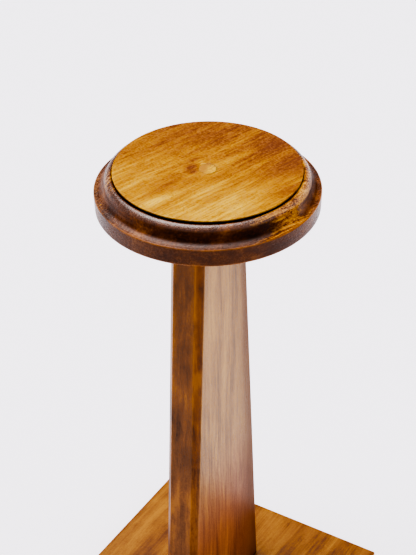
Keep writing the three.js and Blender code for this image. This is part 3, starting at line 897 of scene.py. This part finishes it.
def top_wood():
    """Golden wood on the flat, and glossier dark stain on the rest of the top."""
    material, g = new_material("top_wood")
    f = grain_values(g, (0, 0, -GRAIN_ANGLE), (0.013, 0.021, 0.0))
    grain = weave(g, f, {"broad": 0.42, "streak": 0.75, "fibre": 0.9, "blotch": 0.45, "mottle": 0.8})
    worn_off = worn_through(g, f)
    stain = g.attribute("stain")
    colour = g.mix(stain, flat_colour(g, f, grain), stained_colour(g, f, worn_off))
    fleck = g.span(f["fleck"], 0.62, 0.78)
    colour = g.mix(g.times(fleck, 0.35), colour, rgb(0.16, 0.04, 0.01))
    colour = g.mix(g.times(g.attribute("seam"), 0.45), colour, rgb(0.1, 0.03, 0.006))
    # Painted shadow in the quirk.
    colour = g.mix(g.attribute("quirk_shadow"), colour, rgb(0.004, 0.001, 0.001))
    grit = g.total((f["mottle"], 2.4), (g.noise(g.place(), 1100, 2, 0.5), 2.0))
    height = g.plus(g.total((f["fibre"], 0.35), (f["streak"], 0.3)), g.times(grit, stain))
    # The rings that the turning tool left on the underside.
    rings = {"Vector": g.place(), "Scale": 210.0, "Distortion": 0.6, "Detail": 2.0, "Detail Scale": 3.0}
    tooled = g.node("ShaderNodeTexWave", rings, wave_type="RINGS", rings_direction="Z").outputs["Fac"]
    height = g.plus(height, g.times(g.times(tooled, g.attribute("under")), 0.8))
    roughness = g.plus(g.span(grain, 0.2, 0.8, 0.32, 0.44), g.times(stain, -0.13))
    made = finish_wood(g, colour, height, g.plus(roughness, g.times(g.attribute("cove_shade"), 0.25)))
    g.tree.links.new(g.span(stain, 0.0, 1.0, 1.48, 1.66), made.inputs["IOR"])
    sheen = g.total(
        (stain, 0.26),
        (g.attribute("deep"), -0.5),
        (g.attribute("shine"), 0.32),
        (g.attribute("quirk_shadow"), -0.8),
        (g.attribute("band"), -0.4),
        (worn_off, -0.3),
    )
    g.tree.links.new(g.plus(sheen, 0.32), made.inputs["Specular IOR Level"])
    return material


def plug_wood():
    """A paler piece of the flat's wood, which fades into it on one side."""
    material, g = new_material("plug_wood")
    f = grain_values(g, (0, 0, -GRAIN_ANGLE), (0.4, 0.1, 0.0))
    tone = weave(g, f, {"broad": 0.8, "streak": 1.2, "fibre": 0.9, "blotch": 0.9, "mottle": 0.9})
    colour = g.ramp(
        tone,
        [
            (0.25, rgb(0.4, 0.18, 0.015)),
            (0.5, rgb(0.54, 0.3, 0.024)),
            (0.75, rgb(0.68, 0.43, 0.05)),
        ],
    )
    fade = g.span(g.plus(g.attribute("fade"), g.swing(f["blotch"], 1.2)), 0.2, 0.7)
    colour = g.mix(g.times(fade, 0.9), colour, rgb(0.43, 0.195, 0.02))
    colour = g.mix(g.times(g.attribute("seam"), 0.4), colour, rgb(0.2, 0.075, 0.012))
    finish_wood(g, colour, f["fibre"], 0.4)
    return material


def pillar_face_colour(g, f, tone, band):
    """Brown wood that turns redder toward the foot, with a dark band along one edge."""
    upper = g.ramp(
        tone,
        [
            (0.15, rgb(0.13, 0.045, 0.009)),
            (0.4, rgb(0.28, 0.112, 0.016)),
            (0.6, rgb(0.4, 0.18, 0.028)),
            (0.85, rgb(0.52, 0.27, 0.05)),
        ],
    )
    lower = g.ramp(
        tone,
        [
            (0.15, rgb(0.15, 0.033, 0.012)),
            (0.4, rgb(0.27, 0.078, 0.024)),
            (0.6, rgb(0.35, 0.114, 0.033)),
            (0.85, rgb(0.46, 0.175, 0.044)),
        ],
    )
    ragged = g.plus(g.attribute("rise"), g.swing(f["streak"], 0.3))
    colour = g.mix(g.span(ragged, 0.22, 0.5), lower, upper)
    return g.mix(g.times(band, 0.8), colour, rgb(0.14, 0.038, 0.007))


def pillar_side_colour(g, f):
    """The darker brown of the sides that face along Y, lighter where side_light says."""
    tone = weave(g, f, {"broad": 0.8, "streak": 0.5, "fibre": 0.4, "blotch": 0.9, "mottle": 0.4})
    return g.ramp(
        g.plus(tone, g.attribute("side_light")),
        [
            (0.2, rgb(0.065, 0.019, 0.008)),
            (0.45, rgb(0.16, 0.054, 0.018)),
            (0.65, rgb(0.23, 0.081, 0.023)),
            (0.85, rgb(0.35, 0.135, 0.03)),
        ],
    )


def pillar_chamfer_colour(g, f):
    """Reddish stain, paler where a highlight is painted on it."""
    tone = weave(g, f, {"broad": 0.6, "streak": 0.8, "fibre": 0.3, "blotch": 1.1, "mottle": 0.3})
    return g.ramp(
        g.plus(tone, g.attribute("chamfer_highlight")),
        [
            (0.25, rgb(0.09, 0.022, 0.006)),
            (0.5, rgb(0.21, 0.062, 0.013)),
            (0.75, rgb(0.32, 0.115, 0.02)),
        ],
    )


def pillar_wood():
    """Glossy stained wood, darker on the sides that face along Y and on the chamfers."""
    material, g = new_material("pillar_wood")
    f = grain_values(g, (0, math.radians(90), 0), (0.0, 0.0, 0.0))
    rise, side = g.attribute("rise"), g.attribute("side")
    tone = weave(g, f, {"broad": 0.95, "streak": 1.0, "fibre": 0.6, "blotch": 0.35, "mottle": 0.4})
    band = g.span(g.plus(g.attribute("stripe"), g.swing(f["streak"], 0.5)), 0.3, 0.9)
    colour = g.mix(side, pillar_face_colour(g, f, tone, band), pillar_side_colour(g, f))
    colour = g.mix(g.attribute("chamfer"), colour, pillar_chamfer_colour(g, f))
    # Wear on the arrises, with a painted highlight that grows stronger up the pillar.
    worn_and_lit_above = g.span(rise, 0.45, 0.75, 0.35, 1.0)
    rubbed = g.times(g.times(g.attribute("wear"), worn_and_lit_above), g.span(f["blotch"], 0.32, 0.55))
    colour = g.mix(g.times(rubbed, 0.8), colour, rgb(0.42, 0.15, 0.014))
    # Painted shade at the foot, where the pillar meets the base board.
    colour = g.mix(g.times(g.attribute("joint_shade"), 0.8), colour, rgb(0.02, 0.006, 0.002))
    height = g.total((f["fibre"], 0.35), (f["streak"], 0.35))
    roughness = g.plus(g.span(tone, 0.2, 0.8, 0.32, 0.22), g.span(rise, 0.5, 0.3, 0.0, 0.12))
    made = finish_wood(g, colour, height, roughness, ior=1.58)
    made.inputs["Specular Tint"].default_value = rgb(1.0, 0.99, 0.74)
    matte = g.total((side, -0.3), (band, -0.3))
    g.tree.links.new(g.plus(matte, 0.5), made.inputs["Specular IOR Level"])
    return material


def base_wood():
    """Golden brown wood in broad soft bands."""
    material, g = new_material("base_wood")
    f = grain_values(g, (0, 0, math.radians(-90)), (0.31, 0.12, 0.0))
    tone = weave(g, f, {"broad": 1.15, "streak": 0.5, "fibre": 0.4, "blotch": 0.9, "mottle": 0.4})
    colour = g.ramp(
        tone,
        [
            (0.2, rgb(0.12, 0.028, 0.004)),
            (0.38, rgb(0.225, 0.072, 0.007)),
            (0.55, rgb(0.335, 0.128, 0.01)),
            (0.8, rgb(0.48, 0.225, 0.024)),
        ],
    )
    colour = g.mix(g.times(g.attribute("shade"), 0.3), colour, rgb(0.2, 0.075, 0.01))
    rubbed = g.times(g.attribute("wear"), g.span(f["blotch"], 0.4, 0.62))
    colour = g.mix(g.times(rubbed, 0.6), colour, rgb(0.26, 0.085, 0.01))
    # Painted shade round the foot of the pillar.
    colour = g.mix(g.times(g.attribute("joint_shade"), 0.7), colour, rgb(0.05, 0.014, 0.003))
    height = g.total((f["fibre"], 0.3), (f["streak"], 0.3))
    made = finish_wood(g, colour, height, g.span(tone, 0.2, 0.8, 0.3, 0.4))
    made.inputs["Specular IOR Level"].default_value = 0.35
    return material


def oiled_wood(name, rotation, stops):
    """Plain hardwood of the hidden pieces."""
    material, g = new_material(name)
    f = grain_values(g, rotation, (0.17, 0.23, 0.05))
    tone = weave(g, f, {"broad": 0.8, "streak": 0.7, "fibre": 0.5, "blotch": 0.5, "mottle": 0.2})
    worn = g.times(g.edges(1.2 * MM), g.span(f["blotch"], 0.3, 0.6, 0.2, 1.0))
    colour = g.mix(g.times(worn, 0.35), g.ramp(tone, stops), rgb(0.5, 0.28, 0.1))
    colour = g.mix(g.span(f["fleck"], 0.62, 0.8, 0.0, 0.45), colour, rgb(0.07, 0.025, 0.006))
    height = g.total((f["fibre"], 0.6), (f["streak"], 0.4))
    finish_wood(g, colour, height, g.span(tone, 0.2, 0.8, 0.42, 0.56))
    return material


def metal(name, stops, wear_colour, roughness):
    """Aged metal: brushed along Y, dull in patches and bright on its edges."""
    material, g = new_material(name)
    plain = g.place()
    brush = g.noise(g.place(source=plain, scale=(2600, 160, 2600)), 1, 3, 0.6)
    patina = g.noise(plain, 190, 4, 0.62, 0.4)
    spots = g.noise(plain, 900, 2, 0.5)
    colour = g.ramp(g.total((patina, 0.8), (spots, 0.2)), stops)
    worn = g.times(g.edges(0.6 * MM), g.span(spots, 0.3, 0.6, 0.3, 1.0))
    colour = g.mix(g.times(worn, 0.8), colour, wear_colour)
    rough = g.plus(g.span(patina, 0.3, 0.7, roughness + 0.16, roughness), g.times(worn, -0.1))
    normal = g.bump(g.plus(brush, g.times(spots, 0.3)), 0.03 * MM, 0.3)
    g.surface({"Base Color": colour, "Metallic": 1.0, "Roughness": rough, "Normal": normal})
    return material


def felt():
    """Dark brown felt, packed flat and paler along its edges."""
    material, g = new_material("felt")
    plain = g.place()
    fuzz = g.noise(plain, 2600, 3, 0.7, 0.6)
    clump = g.noise(plain, 300, 3, 0.6)
    tone = g.total((fuzz, 0.6), (clump, 0.4))
    stops = [
        (0.3, rgb(0.03, 0.022, 0.016)),
        (0.5, rgb(0.07, 0.052, 0.04)),
        (0.75, rgb(0.13, 0.1, 0.078)),
    ]
    packed = g.times(g.edges(1.5 * MM), 0.4)
    colour = g.mix(packed, g.ramp(tone, stops), rgb(0.16, 0.13, 0.1))
    inputs = {
        "Base Color": colour,
        "Roughness": g.span(clump, 0.3, 0.7, 0.85, 1.0),
        "Sheen Weight": 0.5,
        "Sheen Roughness": 0.4,
        "Normal": g.bump(tone, 0.6 * MM, 0.9),
    }
    g.surface(inputs)
    return material


# ---- The other pieces.


def bar(half_width, half_length, low, high, turn):
    """A straight bar across an axis, turned about it."""
    c, s = math.cos(turn), math.sin(turn)
    vertices = []
    for z in (low, high):
        for u, v in SQUARE:
            x, y = u * half_width, v * half_length
            vertices.append((x * c - y * s, x * s + y * c, z))
    return np.array(vertices)


def make_screw(node, body, material, turn, along_x=False):
    """A slotted countersunk screw in the place of the node. Its head faces down, or along X."""
    low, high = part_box(node)
    axis = 0 if along_x else 2
    length = high[axis] - low[axis]
    head = (high[1] - low[1]) / 2
    radius = head / 2
    pitch = 0.55 * radius
    ease = 0.12 * radius
    profile = [(0, 0), (0.5 * head, 0), (head - ease, 0), (head - 0.3 * ease, 0.3 * ease)]
    profile += [(head, ease), (head, 0.2 * radius)]
    profile += [(radius * 1.2, 0.95 * radius), (radius, 1.25 * radius), (radius, 0.45 * length)]
    root, crest = 0.72 * radius, 0.95 * radius
    for k in range(int((0.5 * length - 2 * radius) / pitch)):
        z = 0.47 * length + k * pitch
        profile += [(root, z), (crest, z + 0.4 * pitch), (crest, z + 0.5 * pitch)]
    profile += [(root, length - 2 * radius), (0, length)]
    vertices, faces = lathe(profile, 40)
    faces = [tuple(reversed(face)) for face in faces]
    made = piece(node + "_fine", vertices, faces, None, material, [node])
    carve(made, bar(0.28 * radius, 3 * radius, -1 * radius, 0.55 * radius, turn))
    mesh = made.data
    mid_x, mid_y, mid_z = ((a + b) / 2 for a, b in zip(low, high))
    for vertex in mesh.vertices:
        x, y, z = vertex.co
        if along_x:
            vertex.co = (high.x - z, mid_y + y, mid_z + x)
        else:
            vertex.co = (mid_x + x, mid_y + y, low.z + z)
    mesh.shade_smooth()
    mesh.set_sharp_from_angle(angle=math.radians(35))
    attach(made, body)


def dress(names, material, ease):
    """Gives frame nodes their finish, and eases their sharp edges by this much."""
    for name in names:
        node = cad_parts[name]
        mesh = node.data
        if "custom_normal" in mesh.attributes:
            mesh.attributes.remove(mesh.attributes["custom_normal"])
        mesh.shade_smooth()
        mesh.materials.clear()
        mesh.materials.append(material)
        weld = node.modifiers.new("weld", "WELD")
        weld.merge_threshold = 0.01 * MM
        bevel = node.modifiers.new("ease", "BEVEL")
        bevel.width = ease
        bevel.segments = 3
        bevel.limit_method = "ANGLE"
        bevel.angle_limit = math.radians(38)
        bevel.harden_normals = True
        bevel.miter_outer = "MITER_ARC"


def dress_the_rest():
    """The pieces under the top and under the base board."""
    ends = ("front", "back")
    oiled = [
        (0.2, rgb(0.16, 0.07, 0.02)),
        (0.45, rgb(0.27, 0.13, 0.042)),
        (0.7, rgb(0.37, 0.2, 0.075)),
    ]
    along_x = oiled_wood("bearer_wood", (0, 0, 0), oiled)
    along_y = oiled_wood("block_wood", (0, 0, math.radians(-90)), oiled)
    upright = oiled_wood("dowel_wood", (0, math.radians(90), 0), oiled)
    walnut = [
        (0.25, rgb(0.03, 0.012, 0.005)),
        (0.5, rgb(0.07, 0.03, 0.012)),
        (0.75, rgb(0.12, 0.055, 0.023)),
    ]
    wedge = oiled_wood("wedge_wood", (0, math.radians(90), 0), walnut)
    brass_stops = [
        (0.25, rgb(0.24, 0.135, 0.045)),
        (0.5, rgb(0.36, 0.22, 0.075)),
        (0.75, rgb(0.44, 0.285, 0.1)),
    ]
    brass = metal("aged_brass", brass_stops, rgb(0.7, 0.5, 0.23), 0.28)
    steel_stops = [
        (0.3, rgb(0.16, 0.145, 0.13)),
        (0.5, rgb(0.3, 0.29, 0.275)),
        (0.7, rgb(0.42, 0.41, 0.4)),
    ]
    steel = metal("dull_steel", steel_stops, rgb(0.62, 0.62, 0.61), 0.3)
    for i, end in enumerate(ends):
        for k, place in enumerate(("left", "right")):
            make_screw(f"base_screw_{end}_{place}", "stand", steel, 0.7 * k + 1.9 * i)
        for k, place in enumerate(("low", "middle", "high")):
            make_screw(f"bearer_screw_{end}_{place}", "top", steel, 0.8 * k + 0.5 * i + 0.3)
        for k, place in enumerate(("inner", "outer")):
            make_screw(f"plate_screw_{end}_{place}", "top", brass, 1.1 * k - 0.6 * i)
        make_screw(f"keep_screw_{end}", "stand", brass, 0.4 + 1.3 * i, along_x=True)
    dress(["bearer_" + e for e in ends], along_x, 0.9 * MM)
    dress(["pivot_block"], along_y, 0.9 * MM)
    dress(["pillar_dowel_" + e for e in ends], upright, 0.5 * MM)
    dress(["tenon_wedge_" + e for e in ends], wedge, 0.2 * MM)
    dress(["pivot_pin_" + e for e in ends] + ["catch_spring"], steel, 0.2 * MM)
    dress(["pivot_bush_" + e for e in ends], brass, 0.2 * MM)
    dress(["catch_keep", "catch_plate"], brass, 0.2 * MM)
    dress(["catch_bolt", "catch_knob"], brass, 0.3 * MM)
    pads = [f"foot_pad_{end}_{side}" for end in ends for side in ("left", "right")]
    dress(pads, felt(), 0.5 * MM)


# ---- Putting it together.

make_camera()
make_studio()
make_top()
make_plug()
make_pillar()
make_base()
dress_the_rest()
